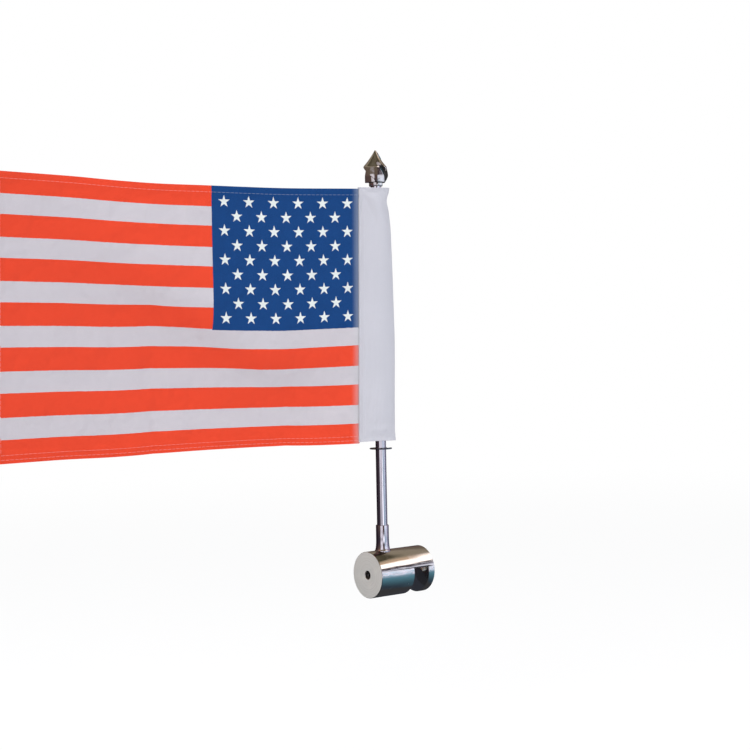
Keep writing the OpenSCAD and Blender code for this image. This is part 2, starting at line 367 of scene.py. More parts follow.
spot, worn = add_marks(tree, shader, 0.28, 0.45, 0.15, 0.0001)
scratched = tint(tree, worn.outputs["Scratch"], (0.07, 0.08, 0.1), (0.3, 0.31, 0.33))
tree.links.new(scratched, shader.inputs["Base Color"])
clip.data.materials.append(spring_steel)
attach(clip, "mount")
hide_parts("flag_clip")

# ---- Finial stud ----
# Zinc-plated threaded stud, half in the pole and half in the finial.
plated_steel, tree, shader = shade("plated_steel", (0.6, 0.6, 0.58), Metallic=1.0)
spot, worn = add_marks(tree, shader, 0.3, 0.45, 0.1, 0.0001)
dulled = tint(tree, worn.outputs["Smudge"], (0.62, 0.62, 0.58), (0.5, 0.47, 0.4))
tree.links.new(dulled, shader.inputs["Base Color"])
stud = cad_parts["finial_stud"]
stud.data.materials.clear()
stud.data.materials.append(plated_steel)

# ---- Finial collar ----
# Plain chromed washer that the finial is screwed down on, over the sleeve's top.
collar_low, collar_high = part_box("finial_collar")
collar_r = (collar_high.x - collar_low.x) / 2
collar = turned("collar", pole_x, [(collar_low.z, collar_r), (collar_high.z, collar_r)])
settle_piece(collar, 0.0004, 3)
finial_chrome, tree, shader = shade("finial_chrome", (0.58, 0.55, 0.52), Metallic=1.0)
spot, worn = add_marks(tree, shader, 0.07, 0.2, 0.1, 0.0002)
pits = put(tree, "ShaderNodeTexNoise", {"Vector": spot, "Scale": 500.0, "Detail": 3.0})
pitted = tint(tree, ramp(tree, pits.outputs["Fac"], 0.6, 0.75), (0.6, 0.57, 0.54), (0.35, 0.31, 0.26))
tree.links.new(pitted, shader.inputs["Base Color"])
dents = put(tree, "ShaderNodeTexNoise", {"Vector": spot, "Scale": 220.0, "Detail": 1.0})
waves = tree.nodes["Bump"].outputs[0]
dented = {"Height": dents.outputs["Fac"], "Strength": 1.0, "Distance": 0.00022, "Normal": waves}
cast = put(tree, "ShaderNodeBump", dented)
tree.links.new(cast.outputs[0], shader.inputs["Normal"])
collar.data.materials.append(finial_chrome)
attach(collar, "finial")
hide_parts("finial_collar")

# ---- Finial ----
# Cast point with three spiral flutes, chromed, screwed on the stud above the collar.
finial_low, finial_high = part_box("finial")
finial_r = 0.0075
finial_h = finial_high.z - finial_low.z
foot_width = 0.9
flute_depth = 0.3
flute_twist = math.radians(180)
per_flute = 16
sides = 3 * per_flute
start()
bpy.ops.mesh.primitive_circle_add(
    vertices=sides, radius=finial_r * foot_width, fill_type="NGON", location=(pole_x, 0, finial_low.z)
)
finial = bpy.context.object
finial.name = "spiral_finial"
bpy.ops.object.mode_set(mode="EDIT")
mesh = bmesh.from_edit_mesh(finial.data)
angle_of = {v: math.atan2(v.co.y, v.co.x) % math.tau for v in mesh.verts}
for k in range(per_flute):
    share = k / per_flute
    for v, a in angle_of.items():
        v.select = round(a / math.tau * sides) % per_flute == k
    mesh.select_flush_mode()
    bmesh.update_edit_mesh(finial.data)
    keep = 1 - flute_depth * share
    bpy.ops.transform.resize(value=(keep, keep, 1), center_override=(pole_x, 0, finial_low.z))
bpy.ops.mesh.select_all(action="SELECT")
layers = 36
base_share = 0.479
z = finial_low.z
width = foot_width
for i in range(1, layers + 1):
    share = i / layers
    next_z = finial_low.z + finial_h * share
    taper = max(0.0, (share - base_share) / (1 - base_share))
    next_width = (1 - 0.94 * taper ** 0.95) * min(1.0, foot_width + 0.5 * share)
    bpy.ops.mesh.extrude_region_move(TRANSFORM_OT_translate={"value": (0, 0, next_z - z)})
    grow = next_width / width
    bpy.ops.transform.resize(value=(grow, grow, 1), center_override=(pole_x, 0, next_z))
    bpy.ops.transform.rotate(value=flute_twist / layers, orient_axis="Z", center_override=(pole_x, 0, next_z))
    z, width = next_z, next_width
bpy.ops.object.mode_set(mode="OBJECT")
settle_piece(finial, 0.0, 2, 45)
finial.data.materials.append(finial_chrome)
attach(finial, "finial")
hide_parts("finial")

# ---- Flag panel ----
# Printed woven polyester, six inches by nine, hemmed on three sides and sewn into the sleeve at the
# hoist. It hangs in one long wave with a slanting fold across it, and puckers along its stitching.
fly = 0.2286
hoist = 0.1524
tuck = 0.0035
hem = 0.0055
fly_hem = 0.0078
hem_t = 0.0009
fold_depth = 0.0055
turn = math.radians(8.8)
sleeve_low, sleeve_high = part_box("pole_sleeve")
top_z = sleeve_high.z
bottom_z = sleeve_low.z


def seam_x(z):
    """Distance of the sleeve's seam behind the pole's axis at a height."""
    return 0.0115 + 0.0032 * (top_z - z) / hoist


def wave_y(f):
    """Sideways place of the cloth at a distance behind the seam."""
    curl = np.clip((f - 0.15) / (fly * 0.997 - 0.15), 0, None)
    return 0.006 * np.sin(math.tau * f / 0.336) - 0.008 * curl**2


def in_flag_frame(x, y, z):
    """Points given from the pole's axis, turned about it to where the flag flies."""
    turned_x = x * math.cos(turn) + y * math.sin(turn)
    turned_y = y * math.cos(turn) - x * math.sin(turn)
    return np.stack([pole_x + turned_x, turned_y, z], -1)


def sheet_mesh(name, points, uv, closed=False):
    """A quad mesh over a grid of points, with a UV map; closed joins its last column to its first."""
    rows, columns = points.shape[:2]
    index = np.arange(rows * columns).reshape(rows, columns)
    if closed:
        index = np.concatenate([index, index[:, :1]], 1)
        uv = np.concatenate([uv, uv[:, :1] + [1, 0]], 1)
    quads = np.stack([index[:-1, :-1], index[1:, :-1], index[1:, 1:], index[:-1, 1:]], -1).reshape(-1, 4)
    corners = np.stack([uv[:-1, :-1], uv[1:, :-1], uv[1:, 1:], uv[:-1, 1:]], -2).reshape(-1, 2)
    mesh = bpy.data.meshes.new(name)
    mesh.from_pydata(points.reshape(-1, 3).tolist(), [], quads.tolist())
    layer = mesh.uv_layers.new(name="cloth")
    layer.data.foreach_set("uv", corners.ravel())
    piece = bpy.data.objects.new(name, mesh)
    bpy.context.scene.collection.objects.link(piece)
    return piece


def weigh(piece, name, values):
    """A vertex group with one weight for each vertex."""
    group = piece.vertex_groups.new(name=name)
    for i, value in enumerate(values.ravel().tolist()):
        if value > 0:
            group.add([i], value, "REPLACE")


def relax(piece, pins, shrunk, most, frames):
    """Lets the cloth pull up along its stitching by a cloth simulation, and keeps the result."""
    weigh(piece, "held", pins)
    weigh(piece, "sewn", shrunk)
    cloth = piece.modifiers.new("cloth", "CLOTH")
    settings = cloth.settings
    settings.quality = 6
    settings.mass = 0.12
    settings.tension_stiffness = 30
    settings.compression_stiffness = 30
    settings.shear_stiffness = 8
    settings.bending_stiffness = 0.02
    settings.vertex_group_mass = "held"
    settings.pin_stiffness = 2
    settings.vertex_group_shrink = "sewn"
    settings.shrink_min = 0
    settings.shrink_max = most
    settings.effector_weights.gravity = 0
    cloth.collision_settings.use_collision = False
    cloth.point_cache.frame_start = 1
    cloth.point_cache.frame_end = frames
    scene = bpy.context.scene
    for frame_number in range(1, frames + 1):
        scene.frame_set(frame_number)
    start()
    piece.select_set(True)
    bpy.context.view_layer.objects.active = piece
    bpy.ops.object.modifier_apply(modifier=cloth.name)
    scene.frame_set(1)


def thicken(piece, thickness, weights):
    """Gives a sheet its thickness, more where its hems are folded, and smooths it."""
    weigh(piece, "layers", weights)
    solid = piece.modifiers.new("layers", "SOLIDIFY")
    solid.thickness = thickness
    solid.offset = 0
    solid.vertex_group = "layers"
    start()
    piece.select_set(True)
    bpy.context.view_layer.objects.active = piece
    bpy.ops.object.modifier_apply(modifier=solid.name)
    bpy.ops.object.mode_set(mode="EDIT")
    bpy.ops.mesh.select_all(action="SELECT")
    bpy.ops.mesh.normals_make_consistent(inside=False)
    bpy.ops.object.mode_set(mode="OBJECT")
    bpy.ops.object.shade_smooth_by_angle(angle=math.radians(60))


# The flat cloth's grid, from the tucked edge to the fly and from the top to the bottom
step = 0.00127
s = np.linspace(-tuck, fly, round((fly + tuck) / step) + 1)
t = np.linspace(0, hoist, round(hoist / step) + 1)
fine_f = np.linspace(-tuck, fly, 4000)
slopes = np.gradient(wave_y(fine_f), fine_f)
lengths = np.hypot(1, (slopes[1:] + slopes[:-1]) / 2) * np.diff(fine_f)
along = np.concatenate([[0], np.cumsum(lengths)]) - tuck
f = np.interp(s, along, fine_f)
# The slanting fold, which dies out towards the fly
fold_size = fold_depth * np.clip(s / 0.045, 0, 1) * (1 - np.clip((s - 0.13) / 0.055, 0, 1))
fold_at = 0.109 - 0.62 * np.clip(s - 0.063, 0, None)
S, T = np.meshgrid(s, t)
below = T - fold_at
fold = fold_size * np.tanh(below / 0.013) * np.exp(-((below / 0.075) ** 2))
ripples = 0.0006 * np.sin(S / 0.019 + T / 0.031) * np.sin(T / 0.024 + 1.0) * np.clip(S / 0.03, 0, 1)
Y = wave_y(f)[None, :] + fold + ripples
# Heights shrink where the cloth leans, so that its length down stays the same
drop = np.sqrt(np.clip(np.gradient(t)[:, None] ** 2 - np.gradient(Y, axis=0) ** 2, 0, None))
sag_at = [0, 0.05, 0.1, 0.13, 0.155, 0.18, fly]
sag_by = [0.0008, 0.0018, 0.0018, 0.0021, 0.0013, 0.0002, 0]
sag = np.interp(s, sag_at, sag_by)
sag = np.convolve(np.pad(sag, 8, mode="edge"), np.ones(17) / 17, "valid")
fallen = np.concatenate([np.zeros((1, len(s))), np.cumsum((drop[1:] + drop[:-1]) / 2, 0)], 0)
Z = top_z - sag[None, :] - fallen
lift = np.interp(s, [0, 0.05, 0.08, 0.13, fly], [0, -0.4, 0, 1, 1.2])
Z = Z + 0.0016 * lift[None, :] * np.sin(math.pi * T / hoist)
Z = np.where(S < 0.0002, np.clip(Z, bottom_z + 0.0012, top_z - 0.0012), Z)
X = -seam_x(Z) - f[None, :]
cloth_points = in_flag_frame(X, Y, Z)
panel_uv = np.stack([S / fly, 1 - T / hoist], -1)
panel = sheet_mesh("flag_cloth", cloth_points, panel_uv)
edge_gap = np.minimum(np.minimum(T, hoist - T), fly - S)
hemmed = np.where((edge_gap < hem) | (fly - S < fly_hem), 1.0, 0.4)
sewn_lines = np.exp(-(((edge_gap - 0.0038) / 0.0018) ** 2)) + np.exp(-(((S - 0.0025) / 0.0025) ** 2))
pins = np.where(S < 0.001, 1.0, 0.12)
relax(panel, pins, np.clip(sewn_lines, 0, 1), 0.03, 20)
settled = np.array([v.co for v in panel.data.vertices]).reshape(cloth_points.shape)
thicken(panel, hem_t, hemmed)

# Weave shared by the fabrics: crossing threads, over and under by turns, and their slubs
weave, weave_in, weave_out = new_group(
    "plain_weave",
    [("Place", "NodeSocketVector"), ("Pitch", "NodeSocketFloat")],
    [("Height", "NodeSocketFloat"), ("Slub", "NodeSocketFloat")],
)
threads = put(weave, "ShaderNodeSeparateXYZ", {"Vector": weave_in.outputs["Place"]})
turns = [calc(weave, "DIVIDE", threads.outputs[axis], weave_in.outputs["Pitch"]) for axis in ("X", "Y")]
waves = [calc(weave, "SINE", calc(weave, "MULTIPLY", turn_count, math.pi)) for turn_count in turns]
crests = [calc(weave, "ABSOLUTE", wave) for wave in waves]
square = calc(weave, "ADD", calc(weave, "FLOOR", turns[0]), calc(weave, "FLOOR", turns[1]))
over = calc(weave, "FLOORED_MODULO", square, 2.0)
under = calc(weave, "SUBTRACT", 1.0, over)
warp = calc(weave, "MULTIPLY", crests[0], calc(weave, "MULTIPLY_ADD", over, 0.5, 0.5))
weft = calc(weave, "MULTIPLY", crests[1], calc(weave, "MULTIPLY_ADD", under, 0.5, 0.5))
slub = put(weave, "ShaderNodeTexNoise", {"Vector": weave_in.outputs["Place"], "Scale": 2.2, "Detail": 3.0})
weave.links.new(calc(weave, "MAXIMUM", warp, weft), weave_out.inputs["Height"])
weave.links.new(slub.outputs["Fac"], weave_out.inputs["Slub"])


def add_weave(tree, shader, width, height, pitch, depth, slack):
    """Gives a fabric its weave and faint folds as deep as its slack; its UV map is given in millimetres."""
    uv = put(tree, "ShaderNodeUVMap", uv_map="cloth").outputs[0]
    flat = put(tree, "ShaderNodeVectorMath", {0: uv, 1: (width, height, 1)}, operation="MULTIPLY").outputs[0]
    group = put(tree, "ShaderNodeGroup", node_tree=weave)
    tree.links.new(flat, group.inputs["Place"])
    group.inputs["Pitch"].default_value = pitch
    rumple = put(tree, "ShaderNodeTexNoise", {"Vector": flat, "Scale": 0.06, "Detail": 2.0})
    rumple_in = {"Height": rumple.outputs["Fac"], "Strength": 1.0, "Distance": slack}
    soft_folds = put(tree, "ShaderNodeBump", rumple_in)
    woven_in = {"Height": group.outputs["Height"], "Strength": 0.6, "Distance": depth}
    bump = put(tree, "ShaderNodeBump", {**woven_in, "Normal": soft_folds.outputs[0]})
    tree.links.new(bump.outputs[0], shader.inputs["Normal"])
    return flat, group, bump


def let_light_through(tree, shader, color, bump, share):
    """Mixes in the light that comes through thin cloth."""
    through = put(tree, "ShaderNodeBsdfTranslucent", {"Color": color, "Normal": bump.outputs[0]})
    both = put(tree, "ShaderNodeMixShader", {0: share, 1: shader.outputs[0], 2: through.outputs[0]})
    tree.links.new(both.outputs[0], tree.nodes["Material Output"].inputs["Surface"])


# One five-pointed star, point up, of one unit's radius about the origin
star, star_in, star_out = new_group("star", [("Place", "NodeSocketVector")], [("Inside", "NodeSocketFloat")])
sides_in = []
for k in range(5):
    a = math.radians(90 + 72 * k)
    outward = {0: star_in.outputs[0], 1: (math.cos(a), math.sin(a), 0)}
    away = put(star, "ShaderNodeVectorMath", outward, operation="DOT_PRODUCT")
    sides_in.append(calc(star, "LESS_THAN", away.outputs["Value"], math.cos(math.radians(72))))
count = sides_in[0]
for inside in sides_in[1:]:
    count = calc(star, "ADD", count, inside)
star.links.new(calc(star, "GREATER_THAN", count, 3.5), star_out.inputs["Inside"])

# The printed flag, shared by the cloth and the fine thread that shows it: thirteen stripes and fifty
# stars. Place is in millimetres from the seam and up from the bottom edge; Uneven is the ink's depth.
printing, print_in, print_out = new_group(
    "printed_flag",
    [("Place", "NodeSocketVector"), ("Uneven", "NodeSocketFloat")],
    [("Color", "NodeSocketColor")],
)
ragged = {"Vector": print_in.outputs["Place"], "Scale": 1.1, "Detail": 2.0}
bleed = put(printing, "ShaderNodeTexNoise", ragged)
about_zero = {0: bleed.outputs["Color"], 1: (0.5, 0.5, 0.5)}
centred = put(printing, "ShaderNodeVectorMath", about_zero, operation="SUBTRACT")
moved = {0: centred.outputs[0], 1: (0.4, 0.4, 0), 2: print_in.outputs["Place"]}
bled = put(printing, "ShaderNodeVectorMath", moved, operation="MULTIPLY_ADD")
across = put(printing, "ShaderNodeSeparateXYZ", {"Vector": bled.outputs[0]})
from_seam = across.outputs["X"]
from_top = calc(printing, "SUBTRACT", hoist * 1000, across.outputs["Y"])
stripe = hoist * 1000 / 13
spread = 0.3
shifted = calc(printing, "FLOORED_MODULO", calc(printing, "ADD", from_top, spread), 2 * stripe)
in_stripe = calc(printing, "LESS_THAN", shifted, stripe + 2 * spread)
canton_w = 94.6
canton_h = stripe * 7 + 0.8
in_width = calc(printing, "LESS_THAN", from_seam, canton_w)
in_canton = calc(printing, "MULTIPLY", in_width, calc(printing, "LESS_THAN", from_top, canton_h))
star_gap_x = canton_w / 12
star_gap_y = 8.38
star_r = 3.8
stars_down = calc(printing, "SUBTRACT", from_top, 0.5)
star_masks = []
for offset in (0.0, 1.0):
    cell = []
    for value, gap in ((from_seam, star_gap_x), (stars_down, star_gap_y)):
        shifted = calc(printing, "FLOORED_MODULO", calc(printing, "ADD", value, offset * gap), 2 * gap)
        cell.append(calc(printing, "DIVIDE", calc(printing, "SUBTRACT", shifted, gap), star_r))
    upright = calc(printing, "MULTIPLY", cell[1], -1.0)
    point = put(printing, "ShaderNodeCombineXYZ", {"X": cell[0], "Y": upright})
    group = put(printing, "ShaderNodeGroup", node_tree=star)
    printing.links.new(point.outputs[0], group.inputs[0])
    mask = group.outputs[0]
    last = (11, 9) if offset else (12, 10)
    for value, gap, count_to in ((from_seam, star_gap_x, last[0]), (stars_down, star_gap_y, last[1])):
        mask = calc(printing, "MULTIPLY", mask, calc(printing, "GREATER_THAN", value, offset * gap))
        mask = calc(printing, "MULTIPLY", mask, calc(printing, "LESS_THAN", value, count_to * gap))
    star_masks.append(mask)
stars = calc(printing, "MAXIMUM", star_masks[0], star_masks[1])
uneven = ramp(printing, print_in.outputs["Uneven"], 0.3, 0.7)
white = tint(printing, uneven, (0.53, 0.5, 0.54), (0.59, 0.56, 0.6))
red = tint(printing, uneven, (0.72, 0.054, 0.021), (0.79, 0.076, 0.033))
blue = tint(printing, uneven, (0.005, 0.041, 0.16), (0.008, 0.062, 0.225))
printed = tint(printing, in_stripe, white, red)
printed = tint(printing, in_canton, printed, tint(printing, stars, blue, (0.7, 0.74, 0.73)))
worn_ink = ramp(printing, from_seam, 0.0, 5.5, 0.36, 0.0)
printing.links.new(tint(printing, worn_ink, printed, (0.5, 0.54, 0.56)), print_out.inputs["Color"])

flag_print, tree, shader = shade(
    "flag_print",
    (0.8, 0.8, 0.8),
    Roughness=0.7,
    Sheen_Weight=0.04,
    Sheen_Roughness=0.4,
    Specular_IOR_Level=0.15,
)
flat, woven, bump = add_weave(tree, shader, fly * 1000, hoist * 1000, 0.42, 0.00012, 0.0035)
group = put(tree, "ShaderNodeGroup", node_tree=printing)
tree.links.new(flat, group.inputs["Place"])
tree.links.new(woven.outputs["Slub"], group.inputs["Uneven"])
# Painted shade: the base colour darkens in the hollows between the woven threads.
painted_weave_shade = calc(tree, "MULTIPLY_ADD", woven.outputs["Height"], 0.16, 0.88)
inked = {0: group.outputs["Color"], "Scale": painted_weave_shade}
shaded = put(tree, "ShaderNodeVectorMath", inked, operation="SCALE").outputs[0]
tree.links.new(shaded, shader.inputs["Base Color"])
let_light_through(tree, shader, shaded, bump, 0.18)
panel.data.materials.append(flag_print)
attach(panel, "flag")
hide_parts("flag_panel")

# ---- Pole sleeve ----
# White polyester sewn into a flat tube that slips over the pole. It is creased at the front, pinched
# in below its top, and closed by the double row of stitches that takes in the flag's hoist edge.
sleeve_round = 0.051
heights = np.linspace(0, hoist, round(hoist / step) + 1)
round_count = 64
share = np.linspace(0, 1, round_count, endpoint=False)
Z = (top_z - heights)[:, None] * np.ones(round_count)[None, :]
front_at = [0, 0.003, 0.0075, 0.014, 0.0245, 0.0875, 0.1475, 0.1524]
front_by = [0.0084, 0.0078, 0.0052, 0.0075, 0.0088, 0.0104, 0.0093, 0.0098]
front = np.interp(heights, front_at, front_by)
front = np.convolve(np.pad(front, 2, mode="edge"), np.ones(5) / 5, "valid")
seam = seam_x(top_z - heights)
flat_reach = 0.0235
bulge = 0.0043 + 0.35 * np.clip(flat_reach - front - seam, 0, None)
turn_share = share * math.tau
reach = np.cos(turn_share)
x_front = np.where(reach > 0, reach, 0)[None, :] * front[:, None]
x_back = np.where(reach < 0, reach, 0)[None, :] * (seam[:, None] + 0.0003)
half = np.where(reach > 0, np.abs(np.sin(turn_share)) ** 0.9, (1 - np.abs(reach) ** 1.6) ** 1.1)
edge_half = 0.0007
half = edge_half + half[None, :] * (bulge[:, None] - edge_half)
half = half * np.where(np.abs(np.sin(turn_share)) < 1e-6, 0.0, 1.0)[None, :]
side_sign = np.sign(np.sin(turn_share))[None, :]
creases = 0.00045 * np.sin(Z / 0.0085 + 3.0 * np.sin(turn_share)[None, :] + 0.6 * np.sin(Z / 0.021))
creases += 0.0003 * np.sin(Z / 0.0042 + 5.0 * reach[None, :]) * np.exp(-((Z - top_z + 0.008) / 0.018) ** 2)
creases *= np.abs(np.sin(turn_share))[None, :]
settle_y = wave_y(np.array([0.0]))[0]
sleeve_points = in_flag_frame(x_front + x_back, side_sign * (half + creases) + settle_y, Z)
sleeve_u = share[None, :] * np.ones(len(heights))[:, None]
sleeve_v = (1 - heights / hoist)[:, None] * np.ones(round_count)
sleeve_uv = np.stack([sleeve_u, sleeve_v], -1)
sleeve = sheet_mesh("sleeve_cloth", sleeve_points, sleeve_uv, closed=True)
sleeve_ends = np.minimum(heights, hoist - heights)[:, None] * np.ones(round_count)
near_seam = np.where(reach < -0.93, 1.0, 0.12)[None, :] * np.ones((len(heights), 1))
sleeve_sewn = np.exp(-((sleeve_ends - 0.0025) / 0.0018) ** 2)
relax(sleeve, near_seam, sleeve_sewn, 0.03, 16)
sleeve_settled = np.array([v.co for v in sleeve.data.vertices]).reshape(sleeve_points.shape)
sleeve_hem = 0.0045
sleeve_t = 0.0007
thicken(sleeve, sleeve_t, np.where(sleeve_ends < sleeve_hem, 1.0, 0.55))
sleeve_white, tree, shader = shade(
    "sleeve_cloth",
    (0.6, 0.6, 0.66),
    Roughness=0.7,
    Sheen_Weight=0.1,
    Sheen_Roughness=0.5,
    Specular_IOR_Level=0.2,
)
flat, woven, bump = add_weave(tree, shader, sleeve_round * 1000, hoist * 1000, 0.5, 0.00015, 0.001)
soft = tint(tree, woven.outputs["Slub"], (0.535, 0.535, 0.59), (0.6, 0.6, 0.655))
# Painted shade: the base colour darkens in the hollows between the woven threads.
painted_weave_shade = calc(tree, "MULTIPLY_ADD", woven.outputs["Height"], 0.1, 0.92)
shaded = put(tree, "ShaderNodeVectorMath", {0: soft, "Scale": painted_weave_shade}, operation="SCALE").outputs[0]
tree.links.new(shaded, shader.inputs["Base Color"])
let_light_through(tree, shader, shaded, bump, 0.22)
sleeve.data.materials.append(sleeve_white)
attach(sleeve, "flag")
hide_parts("pole_sleeve")

# ---- Stitching ----
# Lockstitches of polyester thread: a double row beside the sleeve, one along the top hem, and two
# along the bottom and fly hems. Each shows as a short rounded dash on both faces of the cloth.
stitch_r = 0.00017
stitch_length = 0.0021
stitch_pitch = 0.0027
start()
bpy.ops.mesh.primitive_cylinder_add(
    vertices=8, radius=stitch_r, depth=stitch_length, rotation=(0, math.pi / 2, 0)
)
one_stitch = bpy.context.object
settle_piece(one_stitch, 0.0001, 1)
stitch_verts = np.array([v.co for v in one_stitch.data.vertices])
stitch_faces = [list(p.vertices) for p in one_stitch.data.polygons]
bpy.data.objects.remove(one_stitch)


def on_grid(points, row, column):
    """A place on a settled grid of cloth, between its points."""
    j = min(int(row), points.shape[0] - 2)
    i = min(int(column), points.shape[1] - 2)
    u = column - i
    v = row - j
    top = points[j, i] * (1 - u) + points[j, i + 1] * u
    low = points[j + 1, i] * (1 - u) + points[j + 1, i + 1] * u
    return top * (1 - v) + low * v


def on_flag(at_s, at_t):
    """The settled flag's middle at a place on the flat flag."""
    return on_grid(settled, at_t / hoist * (len(t) - 1), (at_s + tuck) / (fly + tuck) * (len(s) - 1))


seam_column = round_count // 2
near_half = sleeve_settled[:, seam_column:]
far_half = sleeve_settled[:, seam_column::-1]


def on_sleeve(half_sleeve):
    """Finds places on one face of the sleeve by their distances from the seam and the top."""
    middle = half_sleeve[len(heights) // 2]
    reached = np.concatenate([[0], np.cumsum(np.linalg.norm(np.diff(middle, axis=0), axis=1))])

    def find(from_seam, at_t):
        column = np.interp(from_seam, reached, np.arange(len(reached)))
        return on_grid(half_sleeve, at_t / hoist * (len(heights) - 1), column)

    return find


def sew(name, rows, node, thread, thickness):
    """Rows of stitches, each given by what finds its places, its two ends and the faces it shows on."""
    verts = []
    faces = []
    prints = []
    for find, start_at, end_at, shown_on in rows:
        first = np.array(start_at)
        way = np.array(end_at) - first
        length = np.linalg.norm(way)
        way /= length
        cross = np.array([way[1], -way[0]])
        count = int(length / stitch_pitch)
        for k in range(count):
            mid = first + way * (k + 0.5) * length / count
            ahead = find(*(mid + way * 0.001))
            behind = find(*(mid - way * 0.001))
            forward = (ahead - behind) / np.linalg.norm(ahead - behind)
            normal = np.cross(forward, find(*(mid + cross * 0.001)) - find(*(mid - cross * 0.001)))
            normal /= np.linalg.norm(normal)
            turned_to = np.stack([forward, np.cross(normal, forward), normal])
            for face_side in shown_on:
                centre = (ahead + behind) / 2 + normal * face_side * (thickness / 2 + 0.00003)
                faces += [[i + len(verts) for i in face] for face in stitch_faces]
                verts += (stitch_verts @ turned_to + centre).tolist()
                prints += [[mid[0] / fly, 1 - mid[1] / hoist]] * sum(len(face) for face in stitch_faces)
    mesh = bpy.data.meshes.new(name)
    mesh.from_pydata(verts, [], faces)
    mesh.uv_layers.new(name="cloth").data.foreach_set("uv", np.array(prints).ravel())
    piece = bpy.data.objects.new(name, mesh)
    bpy.context.scene.collection.objects.link(piece)
    mesh.materials.append(thread[0])
    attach(piece, "flag")
    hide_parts(node)
    return piece


def thread_material(name, dark, light):
    """Twisted thread, with its ply as a fine slanting ridge, painted lighter on the ridge as a highlight and
    darker in the groove as shade.
    """
    material, tree, shader = shade(name, dark, Roughness=0.5, Specular_IOR_Level=0.3)
    spot = put(tree, "ShaderNodeTexCoord").outputs["Object"]
    twist = {"Vector": spot, "Scale": 2500.0, "Distortion": 1.0}
    ply = put(tree, "ShaderNodeTexWave", twist, bands_direction="DIAGONAL")
    # Painted highlight and shade: the ply's ridges lighter and its grooves darker in the base colour.
    tree.links.new(tint(tree, ply.outputs["Fac"], dark, light), shader.inputs["Base Color"])
    bump = put(tree, "ShaderNodeBump", {"Height": ply.outputs["Fac"], "Strength": 0.4, "Distance": 0.00005})
    tree.links.new(bump.outputs[0], shader.inputs["Normal"])
    return material, tree, shader, ply


white_thread = (thread_material("white_thread", (0.5, 0.5, 0.56), (0.64, 0.64, 0.7))[0], "white_thread")
clear_thread, tree, shader, ply = thread_material("hem_thread", (0.6, 0.6, 0.6), (0.7, 0.7, 0.7))
uv = put(tree, "ShaderNodeUVMap", uv_map="cloth").outputs[0]
in_millimetres = {0: uv, 1: (fly * 1000, hoist * 1000, 1)}
flat = put(tree, "ShaderNodeVectorMath", in_millimetres, operation="MULTIPLY").outputs[0]
group = put(tree, "ShaderNodeGroup", node_tree=printing)
tree.links.new(flat, group.inputs["Place"])
group.inputs["Uneven"].default_value = 0.5
glint = calc(tree, "MULTIPLY_ADD", ply.outputs["Fac"], 0.12, 0.12)
tree.links.new(tint(tree, glint, group.outputs["Color"], (0.6, 0.66, 0.68)), shader.inputs["Base Color"])
hem_thread = (clear_thread, "hem_thread")
both_faces = (-1, 1)
sleeve_rows = []
for find, outward in ((on_sleeve(near_half), 1), (on_sleeve(far_half), -1)):
    for at in (0.00125, 0.00365):
        sleeve_rows.append((find, (at, 0.001), (at, hoist - 0.001), (outward,)))
sleeve_stitches = sew("sleeve_stitches", sleeve_rows, "sleeve_stitching", white_thread, 0.0004)
top_rows = [(on_flag, (0.001, 0.00375), (fly - 0.001, 0.00375), both_faces)]
top_stitches = sew("top_hem_stitches", top_rows, "top_hem_stitching", hem_thread, hem_t)
bottom_rows = []
for raised in (0.00185, 0.00425):
    bottom_rows.append((on_flag, (0.001, hoist - raised), (fly - 0.001, hoist - raised), both_faces))
bottom_stitches = sew("bottom_hem_stitches", bottom_rows, "bottom_hem_stitching", hem_thread, hem_t)
fly_rows = []
for inset in (0.00425, 0.00665):
    fly_rows.append((on_flag, (fly - inset, 0.005), (fly - inset, hoist - 0.005), both_faces))
fly_stitches = sew("fly_hem_stitches", fly_rows, "fly_hem_stitching", hem_thread, hem_t)

# ---- Studio ----
# A pale floor that fades to white behind the object, a soft key from the left, a fill from the right
# and an overhead panel. The metal alone sees bands of colour, as of a rack and a room round it.
start()
floor_z = -0.12
bpy.ops.mesh.primitive_plane_add(size=8, location=(0, 0, floor_z))
floor = bpy.context.object
floor.name = "floor"
pale, tree, shader = shade("pale_floor", (0.9, 0.9, 0.9), Roughness=0.9)
spot = put(tree, "ShaderNodeTexCoord").outputs["Object"]
grit = put(tree, "ShaderNodeTexNoise", {"Vector": spot, "Scale": 40.0})
gritty = tint(tree, grit.outputs["Fac"], (0.9, 0.9, 0.9), (0.93, 0.93, 0.93))
tree.links.new(gritty, shader.inputs["Base Color"])
path = put(tree, "ShaderNodeLightPath")
glow = put(tree, "ShaderNodeEmission", {"Color": (1, 1, 1, 1), "Strength": 1.0})
far_off = put(tree, "ShaderNodeVectorMath", {0: spot}, operation="LENGTH")
faded = ramp(tree, far_off.outputs["Value"], 0.3, 2.2, 0.8, 1.0)
lit = put(tree, "ShaderNodeMixShader", {0: faded, 1: shader.outputs[0], 2: glow.outputs[0]})
to_camera = {0: path.outputs["Is Camera Ray"], 1: shader.outputs[0], 2: lit.outputs[0]}
seen = put(tree, "ShaderNodeMixShader", to_camera)
gone = put(tree, "ShaderNodeBsdfTransparent")
to_metal = {0: path.outputs["Is Glossy Ray"], 1: seen.outputs[0], 2: gone.outputs[0]}
mixed = put(tree, "ShaderNodeMixShader", to_metal)
tree.links.new(mixed.outputs[0], tree.nodes["Material Output"].inputs["Surface"])
floor.data.materials.append(pale)

azimuth = math.radians(-38.5)
elevation = math.radians(1.3)
roll = math.radians(-1.1)
level_back = Vector((math.sin(azimuth), -math.cos(azimuth), 0))
back = level_back * math.cos(elevation) + Vector((0, 0, math.sin(elevation)))
right = Vector((math.cos(azimuth), math.sin(azimuth), 0))
up = back.cross(right)
cam_right = math.cos(roll) * right + math.sin(roll) * up
cam_up = -math.sin(roll) * right + math.cos(roll) * up

